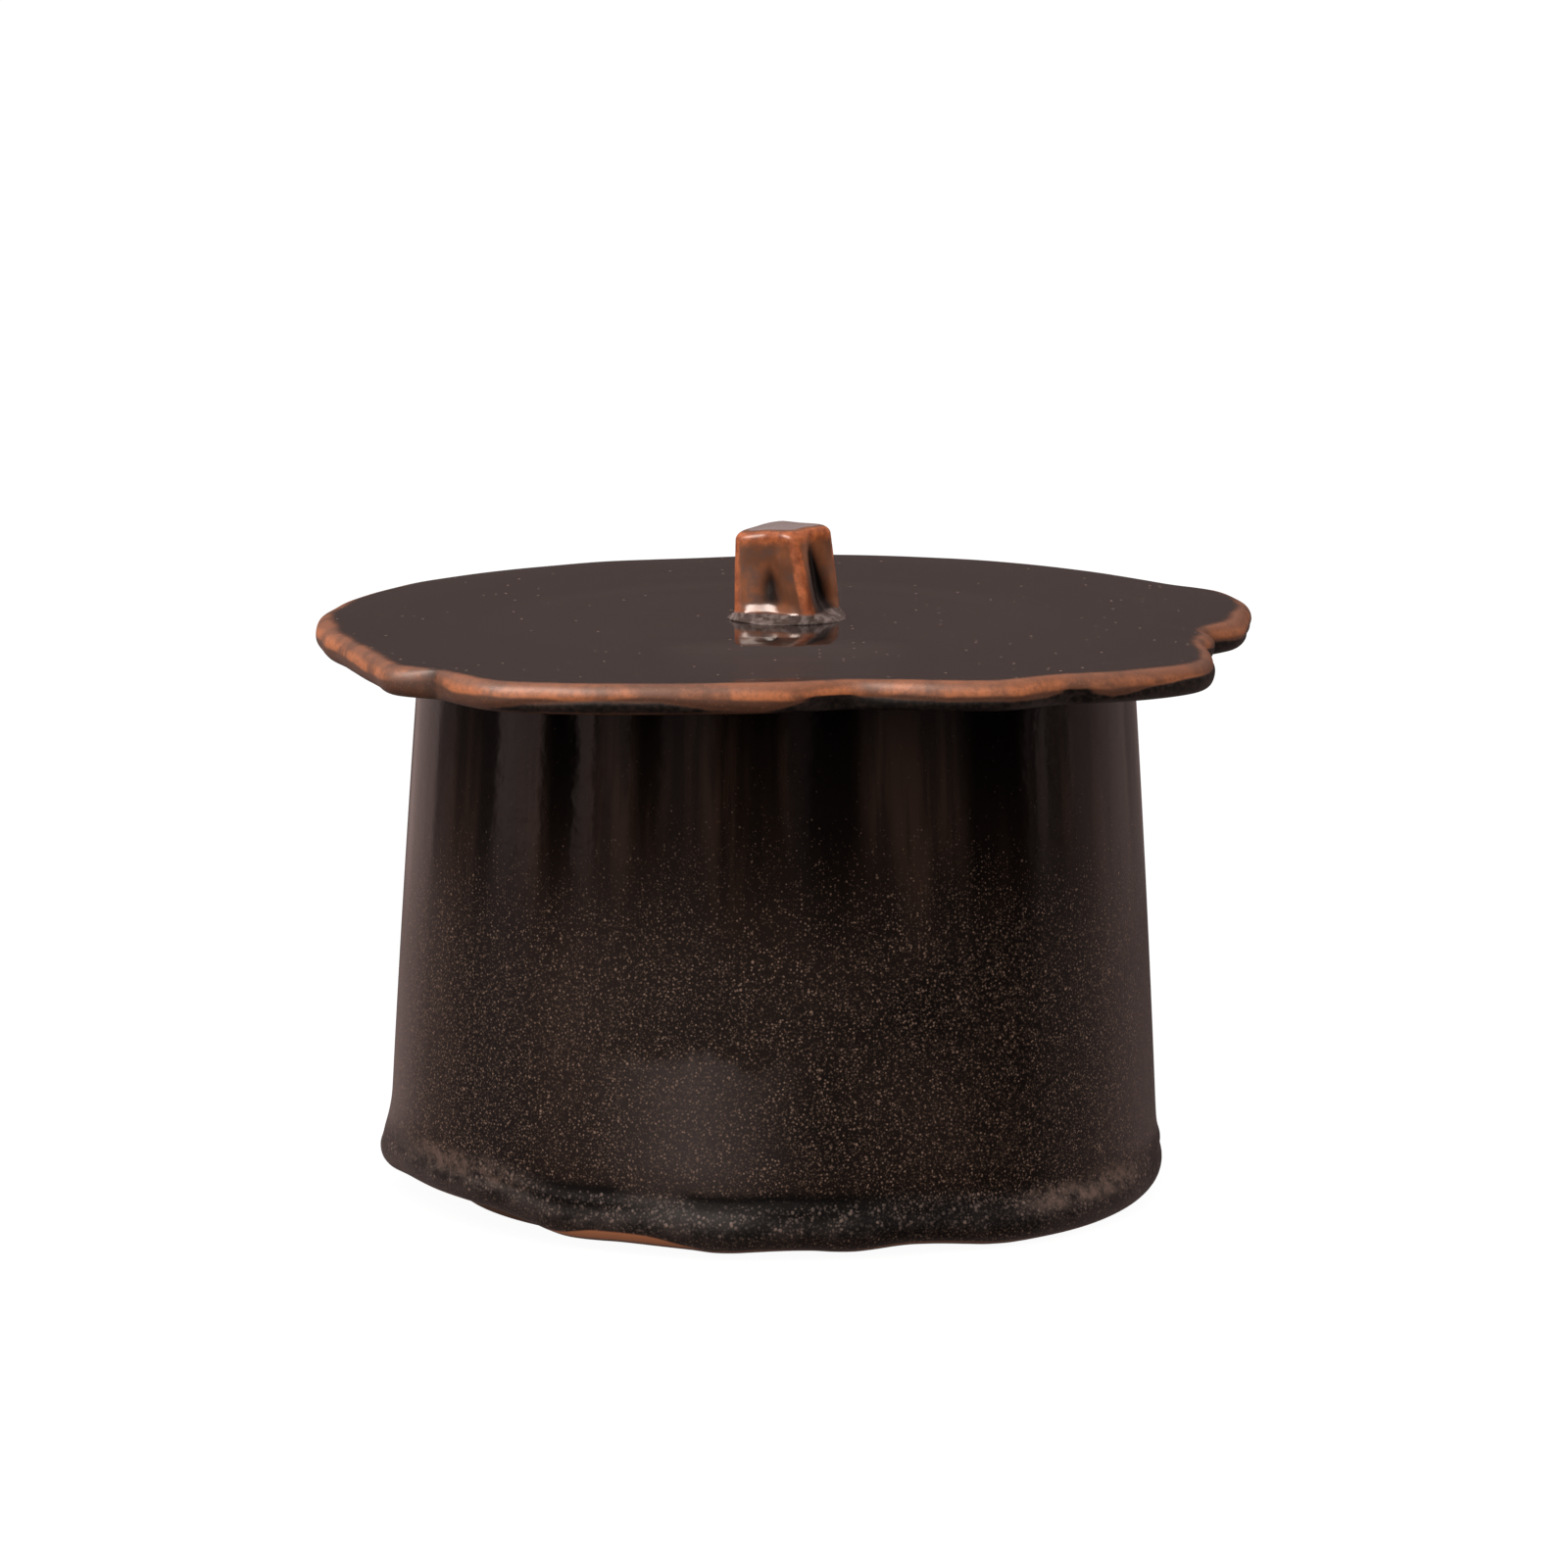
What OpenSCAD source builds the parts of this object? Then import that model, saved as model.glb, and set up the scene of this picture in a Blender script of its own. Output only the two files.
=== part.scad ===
// Lidded stoneware jar: a tapered round jar and a flat lid with an irregular edge.
// +Z is up, the origin is the centre of the foot ring where it meets the table,
// and the front is -Y. All sizes are in millimetres.

/* [Jar] */
// Height of the rim that the lid rests on
rim_z = 119.5; // [100:0.5:140]
// Outer radius of the wall at the rim
rim_r = 78.1; // [74:0.1:84]
// Outer radius of the wall just above the hem
low_r = 84.3; // [82:0.1:84.5]
// How far the wall swells beyond a straight taper
belly = 0.3; // [0:0.1:2]
// How far the wall leans towards +X between the hem and the rim
lean = 0.7; // [0:0.1:1.5]
// Thickness of the wall at the rim
rim_wall = 5.7; // [4.5:0.1:6.5]
// Radius of the floor disc, which the wall is luted around
floor_r = 77; // [76:0.1:77]
// Thickness of the floor disc
floor_t = 6; // [4:0.5:8]

/* [Hem] */
// Mean outer radius of the rolled glaze hem
hem_r = 86; // [85.5:0.1:88]
// Radius of the hem's rounding
hem_round = 5; // [4:0.1:5.5]
// Height from the hem's lower edge to where the plain wall starts
hem_h = 16; // [14:0.5:20]

/* [Foot] */
// Height of the foot ring
foot_h = 6; // [5:0.5:8]
// Outer radius of the foot ring
foot_r = 70; // [64:1:74]
// Width of the foot ring's tread
foot_w = 9; // [6:1:12]

/* [Lid] */
// Thickness of the lid slab
lid_t = 6.5; // [5:0.5:8]
// Outer radius of the locating ring under the lid
flange_r = 70.8; // [69:0.1:71.5]
// Width of the locating ring
flange_w = 5.3; // [4:0.1:7]
// Depth of the locating ring
flange_h = 8; // [6:0.5:10]

/* [Knob] */
// Height of the knob above the lid
knob_h = 20.2; // [14:0.1:26]
// Centre to corner at the foot of the knob
knob_low_r = 12.6; // [11:0.1:14]
// Centre to corner at the top of the knob
knob_top_r = 10.3; // [9:0.1:12]
// How deep the faces are dented, as a share of the corner radius
knob_dent = 0.36; // [0.3:0.01:0.42]
// Turn of the front corner from straight ahead, at the foot
knob_low_turn = 26; // [0:1:40]
// Turn of the front corner from straight ahead, at the top
knob_top_turn = 9; // [0:1:40]

/* [Hidden] */
$fn = 96;

floor_z = foot_h + floor_t;
lid_z = rim_z + lid_t;
knob_x = 3;           // the knob stands a little off the jar's axis
knob_lean = 1.5;      // the knob's top leans this far towards -X
knob_tilt = 1.2;      // and its -X corner ends this much lower
sag_r = 82;           // the lid is flat inside this radius and sags outside it
slice = 2.5;          // degrees between the lid's sections
wall_slice = 3;       // degrees between the wall's sections
knob_slice = 7.5;     // degrees between the points round the knob
glaze = [0.18, 0.13, 0.11];
clay = [0.42, 0.27, 0.20];

// The lid's edge, as [angle, radius]: lobes and dents left by folding a rolled slab
lid_edge = [
    [0, 102], [8, 105.5], [14, 109], [21, 111.8], [28, 113], [33, 108.5], [41, 108],
    [50, 108.5], [60, 110], [82, 110], [91, 107.5], [101, 104.7], [112, 105],
    [123, 103.5], [138, 102.8], [152, 102.2], [166, 101.4], [178, 100.6], [190, 99],
    [201, 98.8], [209, 101.5], [217, 106], [223, 110.5], [228, 107.5], [233, 111],
    [239, 114], [246, 111.5], [253, 107.6], [261, 103.6], [268, 101], [273, 99],
    [277, 95], [281, 94], [286, 98.5], [293, 105.5], [298, 108.2], [304, 105.8],
    [311, 109], [319, 110.6], [325, 111.6], [331, 107.5], [338, 101.5], [345, 96.6],
    [350, 97.4], [354, 94.6], [357, 98]];

// How far the lid's edge hangs below its flat middle, as [angle, sag]
lid_sag = [
    [0, 1.1], [22, 1], [42, 0.4], [90, 0.3], [140, 0.4], [162, 0.8], [200, 0.7],
    [214, 0.3], [240, 0.1], [268, 0.1], [279, 0.5], [290, 0.2], [308, 0.4], [322, 1.1],
    [340, 1.2]];

// Height of the hem's lower edge, as [angle, height]
hem_low = [
    [0, 1.9], [30, 2.6], [60, 1.4], [95, 3.2], [130, 1.6], [160, 2.8], [184, 4.2],
    [195, 5.4], [206, 5.5], [222, 5.2], [230, 3.8], [237, 1.8], [248, 1.9], [257, 1.4],
    [262, 0.8], [269, 1.2], [275, 1.3], [281, 0.9], [290, 1.6], [297, 1.2], [304, 0.3],
    [313, 0.2], [324, 0.2], [336, 0.6], [348, 1.2]];

// How far the hem stands out from its mean radius, as [angle, offset]
hem_out = [
    [0, -0.4], [40, 0.4], [80, -0.6], [120, 0.5], [155, 0], [182, 1.1], [198, -0.6],
    [215, -0.6], [240, -0.6], [262, 0.4], [275, -0.5], [283, 0.3], [292, -0.4],
    [307, 2.1], [321, 1.8], [336, 0.7], [350, -0.1]];

// How much fuller than a plain groove the neck above the hem is, as [angle, offset]
hem_neck = [
    [0, 0.1], [50, 0.6], [110, 0.2], [160, 0.8], [185, 1.1], [208, 0.6], [232, 0],
    [262, -0.3], [290, -0.2], [320, 0.1]];

// Point i of a closed list, with its angle carried past 360 or below 0
function at(list, i) =
    let (n = len(list), lap = floor(i / n), p = list[i - lap * n])
    [p[0] + 360 * lap, p[1]];

// Slope of the smooth curve through point i
function slope(list, i) =
    let (before = at(list, i - 1), after = at(list, i + 1))
    (after[1] - before[1]) / (after[0] - before[0]);

// Index of the last point that isn't past the angle
function last_before(list, angle, i = 0) =
    at(list, i + 1)[0] > angle ? i : last_before(list, angle, i + 1);

// Value of the smooth closed curve through the list at an angle
function curve_at(list, angle) =
    let (i = last_before(list, angle), p = at(list, i), q = at(list, i + 1))
    let (span = q[0] - p[0], t = (angle - p[0]) / span)
    let (blend = t * t * (3 - 2 * t))
    p[1] * (1 - blend) + q[1] * blend
        + span * slope(list, i) * t * (1 - t) * (1 - t)
        - span * slope(list, i + 1) * t * t * (1 - t);

// Outer radius of the plain wall at a height
function wall_r(z) =
    let (t = (rim_z - z) / (rim_z - hem_h))
    rim_r + (low_r - rim_r) * t + 4 * belly * t * (1 - t);

// How far the wall's centre is off the axis at a height: it passes through it midway
function lean_at(z) = lean * (z / rim_z - 0.5);

// Outline of the wall at one angle, from the floor's underside out to the rim
function wall_section(angle) =
    let (low = curve_at(hem_low, angle), out = hem_r + curve_at(hem_out, angle))
    let (neck = curve_at(hem_neck, angle), start_z = low + hem_h)
    concat(
        [[floor_r + 0.3, foot_h]],
        [for (turn = [-115 : 30 : 35])
            [out - hem_round * (1 - cos(turn)), low + hem_round * (1 + sin(turn))]],
        [[wall_r(low + 9) + 0.5 + neck, low + 9], [wall_r(low + 12) - 0.3 + neck, low + 12]],
        [for (t = [0 : 0.125 : 1])
            let (z = start_z + t * (rim_z - start_z))
            [wall_r(z) + lean_at(z) * cos(angle), z]]);

// Outline of the lid's overhang at one angle, from the underside to the top
function lid_section(angle) =
    let (half = lid_t / 2, edge = curve_at(lid_edge, angle), sag = curve_at(lid_sag, angle))
    let (mid_r = (sag_r + edge - half) / 2)
    concat(
        [[sag_r, rim_z], [mid_r, rim_z - sag / 4]],
        [for (turn = [-90 : 22.5 : 90])
            [edge - half * (1 - cos(turn)), rim_z - sag + half * (1 + sin(turn))]],
        [[mid_r, lid_z - sag / 4], [sag_r, lid_z]]);

// Closed skin through one ring of points per level, capped flat at both ends
module skin(rings) {
    n = len(rings[0]);
    levels = len(rings);
    points = [for (ring = rings) each ring];
    sides = [for (k = [0 : levels - 2], i = [0 : n - 1])
        let (a = k * n + i, b = k * n + (i + 1) % n)
        each [[a, a + n, b], [b, a + n, b + n]]];
    low_cap = [for (i = [0 : n - 1]) i];
    top_cap = [for (i = [n - 1 : -1 : 0]) (levels - 1) * n + i];
    polyhedron(points, concat([low_cap], sides, [top_cap]));
}

// Turns sections, one per angle, into rings, one per point of a section
function rings_of(sections, step) =
    [for (k = [0 : len(sections[0]) - 1])
        [for (i = [0 : len(sections) - 1])
            let (r = sections[i][k][0])
            [r * cos(i * step), r * sin(i * step), sections[i][k][1]]]];

// One ring of the knob: t runs from its foot to its top
function knob_ring(t, size, z) =
    let (corner = size * (knob_low_r + (knob_top_r - knob_low_r) * t))
    let (turn = knob_low_turn + (knob_top_turn - knob_low_turn) * t)
    [for (a = [0 : knob_slice : 359.9])
        let (r = corner * (1 - knob_dent * pow(abs(sin(2 * a)), 0.9)))
        let (x = r * cos(a + turn - 90), y = r * sin(a + turn - 90))
        [knob_x + x - knob_lean * t, y, z + knob_tilt * t * min(x, 0) / knob_top_r]];

module ring(r_out, r_in, low_z, high_z) {
    rotate_extrude()
        polygon([[r_in, low_z], [r_out, low_z], [r_out, high_z], [r_in, high_z]]);
}

module jar_wall() {
    color(glaze) difference() {
        skin(rings_of([for (a = [0 : wall_slice : 359.9]) wall_section(a)], wall_slice));
        rotate_extrude()
            polygon([
                [0, -1], [floor_r, -1], [floor_r, floor_z],
                [rim_r - rim_wall, rim_z], [rim_r - rim_wall, rim_z + 1], [0, rim_z + 1]]);
    }
}

module base_slab() {
    color(clay) translate([0, 0, foot_h]) cylinder(r = floor_r, h = floor_t);
}

module foot_ring() {
    color(clay) ring(foot_r, foot_r - foot_w, 0, foot_h);
}

module lid_plate() {
    color(glaze)
        skin(rings_of([for (a = [0 : slice : 359.9]) lid_section(a)], slice));
}

module lid_flange() {
    color(clay) ring(flange_r, flange_r - flange_w, rim_z - flange_h, rim_z);
}

module knob() {
    levels = [
        [0, 1.1, 0], [0.06, 1.02, 0.06], [0.2, 1, 0.2], [0.4, 0.98, 0.4], [0.6, 0.98, 0.6],
        [0.8, 1, 0.8], [0.9, 1, 0.9], [0.96, 0.94, 0.96], [1, 0.8, 0.99], [1, 0.5, 1.01]];
    color(glaze)
        skin([for (level = levels) knob_ring(level[0], level[1], lid_z + knob_h * level[2])]);
}

jar_wall();
base_slab();
foot_ring();
lid_plate();
lid_flange();
knob();
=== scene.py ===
"""The looks of a lidded stoneware jar: a tapered round jar in dark iron glaze, with a
rolled glaze hem, a flat hand-folded lid and a square pinched knob.

Everything is in metres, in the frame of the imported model. Shapes are read from the
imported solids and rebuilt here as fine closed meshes, with the glaze's detail in nodes.
"""

import math

import bmesh
import bpy
import numpy as np
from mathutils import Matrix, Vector
from mathutils.bvhtree import BVHTree


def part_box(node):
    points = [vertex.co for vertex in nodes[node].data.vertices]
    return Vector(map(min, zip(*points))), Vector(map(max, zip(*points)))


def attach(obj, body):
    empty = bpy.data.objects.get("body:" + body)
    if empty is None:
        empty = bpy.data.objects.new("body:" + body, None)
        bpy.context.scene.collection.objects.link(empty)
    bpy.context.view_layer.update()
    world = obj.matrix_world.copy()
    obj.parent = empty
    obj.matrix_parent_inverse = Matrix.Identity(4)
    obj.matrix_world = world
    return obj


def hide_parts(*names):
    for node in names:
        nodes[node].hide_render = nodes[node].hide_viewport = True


MM = 0.001
LATHE_ROUND = 256     # points round the turned rings

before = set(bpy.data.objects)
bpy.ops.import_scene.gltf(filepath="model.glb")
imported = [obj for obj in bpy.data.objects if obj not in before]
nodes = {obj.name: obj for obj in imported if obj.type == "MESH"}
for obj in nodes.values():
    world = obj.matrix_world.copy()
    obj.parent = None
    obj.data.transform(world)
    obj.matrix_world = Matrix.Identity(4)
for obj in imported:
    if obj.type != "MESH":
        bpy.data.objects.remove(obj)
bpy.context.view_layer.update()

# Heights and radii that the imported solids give
rim_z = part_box("lid_flange")[1].z
lid_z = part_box("knob")[0].z
knob_top_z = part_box("knob")[1].z
floor_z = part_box("base_slab")[1].z
foot_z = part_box("foot_ring")[1].z
foot_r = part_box("foot_ring")[1].x
floor_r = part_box("base_slab")[1].x
flange_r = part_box("lid_flange")[1].x
flange_low_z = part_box("lid_flange")[0].z
lid_half = (lid_z - rim_z) / 2


# ---------------------------------------------------------------- helpers


def smoothstep(low, high, value):
    """0 below low, 1 above high and a smooth ramp between, for numbers or arrays."""
    t = np.clip((np.asarray(value, float) - low) / (high - low), 0, 1)
    return t * t * (3 - 2 * t)


def bump_at(angle, centre, width):
    """A smooth bump of height 1 round one angle, in degrees."""
    away = (np.asarray(angle) - centre + 180) % 360 - 180
    return np.exp(-((away / width) ** 2))


def ripple(angle, waves):
    """A sum of sines round the axis: waves is a list of (count, phase, height)."""
    total = np.zeros_like(np.asarray(angle, float))
    for count, phase, height in waves:
        total = total + height * np.sin(np.radians(count * np.asarray(angle) + phase))
    return total


def refine_ring(values, count):
    """Values at even angles, shape (n, ...), smoothly resampled at count even angles."""
    n = len(values)
    place = np.arange(count) * n / count
    i = np.floor(place).astype(int)
    f = (place - i).reshape((-1,) + (1,) * (values.ndim - 1))
    a, b, c, d = (values[(i + k) % n] for k in (-1, 0, 1, 2))
    return b + 0.5 * f * (
        c - a + f * (2 * a - 5 * b + 4 * c - d + f * (3 * (b - c) + d - a))
    )


def solid_of(node):
    """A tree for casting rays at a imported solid."""
    mesh = nodes[node].data
    points = [v.co.copy() for v in mesh.vertices]
    return BVHTree.FromPolygons(points, [tuple(p.vertices) for p in mesh.polygons])


def cast(tree, start, direction):
    """Where a ray meets the solid, as (distance from the axis, height)."""
    hit = tree.ray_cast(Vector(start), Vector(direction))[0]
    return math.hypot(hit.x, hit.y), hit.z


def ring_points(radius, height, count, centre=(0.0, 0.0)):
    """Points round the axis; radius and height are single numbers or one per angle."""
    angle = np.arange(count) * 2 * np.pi / count
    radius = np.broadcast_to(radius, (count,))
    height = np.broadcast_to(height, (count,))
    return np.stack(
        [centre[0] + radius * np.cos(angle), centre[1] + radius * np.sin(angle), height], 1
    )


def loft(name, rings, marks, loop=False):
    """A closed smooth mesh through rings of points, shape (levels, n, 3).

    marks gives named values per point, shape (levels, n), for the materials. With
    loop the last ring joins the first; without it each end is closed by a fan.
    """
    rings = np.asarray(rings, float)
    levels, n = rings.shape[:2]
    points = rings.reshape(-1, 3)
    values = {key: np.asarray(mark, float).reshape(-1) for key, mark in marks.items()}
    k, i = np.meshgrid(np.arange(levels if loop else levels - 1), np.arange(n), indexing="ij")
    up = (k + 1) % levels
    side = (i + 1) % n
    quads = np.stack([k * n + i, k * n + side, up * n + side, up * n + i], -1).reshape(-1, 4)
    faces = [tuple(q) for q in quads.tolist()]
    if not loop:
        for level in (0, levels - 1):
            centre = len(points)
            points = np.vstack([points, rings[level].mean(0)])
            for key, mark in marks.items():
                values[key] = np.append(values[key], np.asarray(mark, float)[level].mean())
            faces += [(level * n + j, level * n + (j + 1) % n, centre) for j in range(n)]
    mesh = bpy.data.meshes.new(name)
    mesh.from_pydata(points.tolist(), [], faces)
    work = bmesh.new()
    work.from_mesh(mesh)
    bmesh.ops.recalc_face_normals(work, faces=work.faces)
    work.to_mesh(mesh)
    work.free()
    mesh.polygons.foreach_set("use_smooth", [True] * len(mesh.polygons))
    for key, mark in values.items():
        layer = mesh.attributes.new(key, "FLOAT", "POINT")
        layer.data.foreach_set("value", mark.astype(np.float32))
    piece = bpy.data.objects.new(name, mesh)
    bpy.context.scene.collection.objects.link(piece)
    return piece


def lathe(name, outline):
    """A closed ring turned from an outline of (radius, height) points."""
    rings = [ring_points(r, z, LATHE_ROUND) for r, z in outline]
    return loft(name, rings, {}, loop=True)


def rounded(points, radius, steps=5):
    """A closed outline of (radius, height) corners with every corner rounded off."""
    points = [np.array(p, float) for p in points]
    outline = []
    for i, corner in enumerate(points):
        before = points[i - 1] - corner
        after = points[(i + 1) % len(points)] - corner
        start = corner + before / np.linalg.norm(before) * radius
        end = corner + after / np.linalg.norm(after) * radius
        for t in np.linspace(0, 1, steps):
            outline.append((1 - t) ** 2 * start + 2 * t * (1 - t) * corner + t * t * end)
    return outline


def place(piece, body, node, slot, material):
    """Ties a finished piece to its body, hides the solid it stands for and gives it its material.
    """
    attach(piece, body)
    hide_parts(node)
    piece.data.materials.append(material)


# ---------------------------------------------------------------- materials


class Nodes:
    """A short way to write a node tree: every method returns an output socket."""

    def __init__(self, tree):
        self.tree = tree
        tree.nodes.clear()

    def add(self, kind, inputs=None, out=0, **settings):
        node = self.tree.nodes.new("ShaderNode" + kind)
        for key, value in settings.items():
            setattr(node, key, value)
        for key, value in (inputs or {}).items():
            self.feed(node.inputs[key], value)
        return node.outputs[out] if node.outputs else None

    def feed(self, socket, value):
        if isinstance(value, bpy.types.NodeSocket):
            self.tree.links.new(value, socket)
        elif socket.type == "RGBA":
            socket.default_value = (*value[:3], 1)
        else:
            socket.default_value = value

    def math(self, operation, a, b=0.0, clamp=False):
        return self.add("Math", {0: a, 1: b}, operation=operation, use_clamp=clamp)

    def times(self, a, b):
        return self.math("MULTIPLY", a, b)

    def plus(self, a, b):
        return self.math("ADD", a, b)

    def minus(self, a, b):
        return self.math("SUBTRACT", a, b)

    def ramp(self, value, low, high, start=0.0, end=1.0):
        """start below low, end above high and smooth between."""
        return self.add(
            "MapRange",
            {"Value": value, 1: low, 2: high, 3: start, 4: end},
            interpolation_type="SMOOTHSTEP",
        )

    def mix(self, share, a, b):
        """The colour a where share is 0 and b where it is 1."""
        return self.add("Mix", {0: share, 6: a, 7: b}, out=2, data_type="RGBA")

    def mark(self, name):
        return self.add("Attribute", out=2, attribute_name=name, attribute_type="GEOMETRY")

    def place(self):
        return self.add("TexCoord", out=3)

    def stretched(self, x=1.0, y=1.0, z=1.0):
        """The object's coordinates, squashed so that a texture stretches along an axis."""
        return self.add("Mapping", {0: self.place(), "Scale": (x, y, z)})

    def axes(self, vector):
        """The three coordinates of a vector."""
        return self.add("SeparateXYZ", {0: vector}).node.outputs

    def size(self, value):
        return self.math("ABSOLUTE", value)

    def band(self, value, centre, half, edge, strength=1.0):
        """strength within half of the centre, 0 beyond the edge and smooth between."""
        return self.ramp(self.size(self.minus(value, centre)), half, edge, strength, 0.0)

    def between(self, value, low, full, less, high):
        """1 from full to less, and 0 below low and above high."""
        return self.times(self.ramp(value, low, full), self.ramp(value, less, high, 1.0, 0.0))

    def noise(self, scale, detail=3.0, rough=0.5, where=None):
        where = where or self.place()
        return self.add(
            "TexNoise",
            {"Vector": where, "Scale": scale, "Detail": detail, "Roughness": rough},
        )

    def spots(self, size, radius, share, where=None):
        """Round spots: cells of a size, a spot radius, and the share of cells with one.

        Returns 1 in the middle of a spot and 0 outside it, at a brightness of its own.
        """
        cells = self.tree.nodes.new("ShaderNodeTexVoronoi")
        self.feed(cells.inputs["Vector"], where or self.place())
        cells.inputs["Scale"].default_value = 1 / size
        away = self.times(cells.outputs["Distance"], size)
        chance = self.add("SeparateColor", {0: cells.outputs["Color"]}, out=0)
        strength = self.add("SeparateColor", {0: cells.outputs["Color"]}, out=1)
        spot = self.add(
            "MapRange",
            {"Value": away, 1: self.times(radius, 0.45), 2: radius, 3: 1.0, 4: 0.0},
            interpolation_type="SMOOTHSTEP",
        )
        there = self.math("LESS_THAN", chance, share)
        bright = self.ramp(strength, 0.0, 1.0, 0.35, 1.0)
        return self.times(self.times(spot, there), bright)


def new_material(name):
    material = bpy.data.materials.new(name)
    material.use_nodes = True
    return material, Nodes(material.node_tree)


def finish_material(n, color, roughness, height, depth, specular=0.5, normal=None):
    """Ends a material: a dielectric surface with a bump of a real depth in metres."""
    bump = n.add("Bump", {"Strength": 1.0, "Distance": depth, "Height": height})
    if normal:
        n.feed(bump.node.inputs["Normal"], normal)
    surface = n.add("BsdfPrincipled", {"Base Color": color, "Roughness": roughness, "Normal": bump})
    surface.node.inputs["IOR"].default_value = 1.5
    surface.node.inputs["Specular IOR Level"].default_value = specular
    n.add("OutputMaterial", {"Surface": surface})


# Colours of the glazes and the clay, as linear red, green and blue
CLAY_DARK = (0.10, 0.052, 0.033)
CLAY_LIGHT = (0.21, 0.105, 0.062)
CLAY_GRAIN = (0.05, 0.028, 0.02)
CLAY_GROG = (0.34, 0.24, 0.17)
JAR_BLACK = (0.0050, 0.0035, 0.0029)
JAR_RUN = (0.0340, 0.0190, 0.0130)
JAR_DEEP = (0.0075, 0.0043, 0.0032)
JAR_BROWN = (0.0215, 0.0124, 0.0091)
JAR_LEFT_SHEEN = (0.0330, 0.0195, 0.0148)
JAR_SIDE_SHADE = (0.0050, 0.0029, 0.0022)
JAR_PAINTED_SHEEN = (0.072, 0.054, 0.050)
SPOT_TINY = (0.205, 0.124, 0.083)
SPOT_SMALL = (0.300, 0.190, 0.136)
SPOT_MEDIUM = (0.320, 0.205, 0.148)
HEM_DARK = (0.0060, 0.0044, 0.0038)
HEM_CREASE_SHADE = (0.0030, 0.0022, 0.0018)
HEM_FROST = (0.056, 0.038, 0.032)
HEM_FLECK = (0.21, 0.134, 0.104)
HEM_FLECK_LARGE = (0.27, 0.178, 0.141)
HEM_DUST = (0.190, 0.118, 0.088)
HEM_RUST = (0.68, 0.250, 0.110)
HEM_EDGE_SHADOW = (0.022, 0.012, 0.008)
LID_DARK = (0.0165, 0.0125, 0.0115)
LID_LIGHT = (0.0210, 0.0155, 0.0140)
LID_SWIRL = (0.042, 0.030, 0.027)
LID_SPECK = (0.50, 0.350, 0.290)
BAND_BROWN = (0.165, 0.066, 0.035)
BAND_RUST = (0.680, 0.215, 0.072)
BAND_DULL = (0.19, 0.075, 0.042)
BAND_SMOKE = (0.155, 0.066, 0.038)
BAND_MOTTLE = (0.24, 0.085, 0.038)
BAND_SPOT = (0.62, 0.30, 0.17)
POOL_DARK = (0.0110, 0.0072, 0.0058)
POOL_LIGHT = (0.046, 0.027, 0.019)
KNOB_BROWN = (0.185, 0.072, 0.036)
KNOB_RED = (0.360, 0.125, 0.052)
KNOB_GREY = (0.130, 0.088, 0.074)
KNOB_RUST_DARK = (0.33, 0.072, 0.020)
KNOB_RUST = (0.74, 0.205, 0.062)
KNOB_GRAIN = (0.42, 0.130, 0.050)
KNOB_DENT = (0.0050, 0.0036, 0.0030)
KNOB_GLASS_DARK = (0.085, 0.060, 0.052)
KNOB_GLASS_SHEEN = (0.240, 0.190, 0.175)
KNOB_TOP_SHEEN = (0.36, 0.29, 0.285)


def bare_clay(n):
    """Colour of the unglazed body: brown stoneware with grog and wheel streaks."""
    grain = n.noise(900.0, 4.0, 0.6)
    cloud = n.noise(35.0, 3.0, 0.5)
    warm = n.mix(cloud, CLAY_DARK, CLAY_LIGHT)
    grog = n.spots(1.4 * MM, 0.28 * MM, 0.3)
    return n.mix(n.times(grog, 0.6), n.mix(n.times(grain, 0.5), warm, CLAY_GRAIN), CLAY_GROG)


# Runs of black glaze down the wall: degrees from the front, + to the right, half width
BLACK_RUNS = [(-48, 5.0), (-34, 3.5), (8.4, 6.0), (36.5, 7.0)]


def jar_body(n, x, ahead, height, cloud, runs):
    """Brown runs down a black wall, as the thick glaze flowed, and brown below, with a painted
    sheen on the left and painted shade towards both sides.
    """
    fine_runs = n.noise(330.0, 2.0, 0.5, n.stretched(z=0.022))
    lower = n.ramp(
        n.plus(height, n.times(n.minus(runs, 0.5), 80 * MM)), 60 * MM, 100 * MM, 1.0, 0.0
    )
    brown = n.times(
        n.ramp(runs, 0.38, 0.60, 0.25, 1.0), n.ramp(fine_runs, 0.36, 0.60, 0.35, 1.0)
    )
    around = n.math("ARCTAN2", x, ahead)
    for degrees, half in BLACK_RUNS:
        centre, half = math.radians(degrees), math.radians(half)
        brown = n.times(brown, n.ramp(n.size(n.minus(around, centre)), half * 0.5, half * 1.4))
    upper_color = n.mix(brown, JAR_BLACK, JAR_RUN)
    lower_color = n.mix(n.ramp(cloud, 0.35, 0.68), JAR_DEEP, JAR_BROWN)
    # Painted sheen: the lower wall is lighter and warmer on the left, fading out to the right.
    lower_color = n.mix(n.ramp(x, -30 * MM, 30 * MM, 0.55, 0.0), lower_color, JAR_LEFT_SHEEN)
    # Painted shade: the lower wall is darker towards both sides as seen from the front.
    shaded_sides = n.between(n.size(x), 44 * MM, 58 * MM, 64 * MM, 73 * MM)
    lower_color = n.mix(n.times(shaded_sides, 0.85), lower_color, JAR_SIDE_SHADE)
    return n.mix(lower, upper_color, lower_color)


def painted_sheen_patch(n, x, ahead, height):
    """1 on a painted sheen at the front left: a paler patch with a ragged top."""
    ragged = n.plus(height, n.times(n.minus(n.noise(52.0, 4.0, 0.62), 0.5), 20 * MM))
    patch = n.times(
        n.ramp(ragged, 41 * MM, 44 * MM, 1.0, 0.0), n.ramp(height, 6 * MM, 22 * MM, 0.3, 1.0)
    )
    patch = n.times(patch, n.band(x, -17 * MM, -2 * MM, 27 * MM))
    return n.times(patch, n.ramp(ahead, 60 * MM, 70 * MM))


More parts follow.
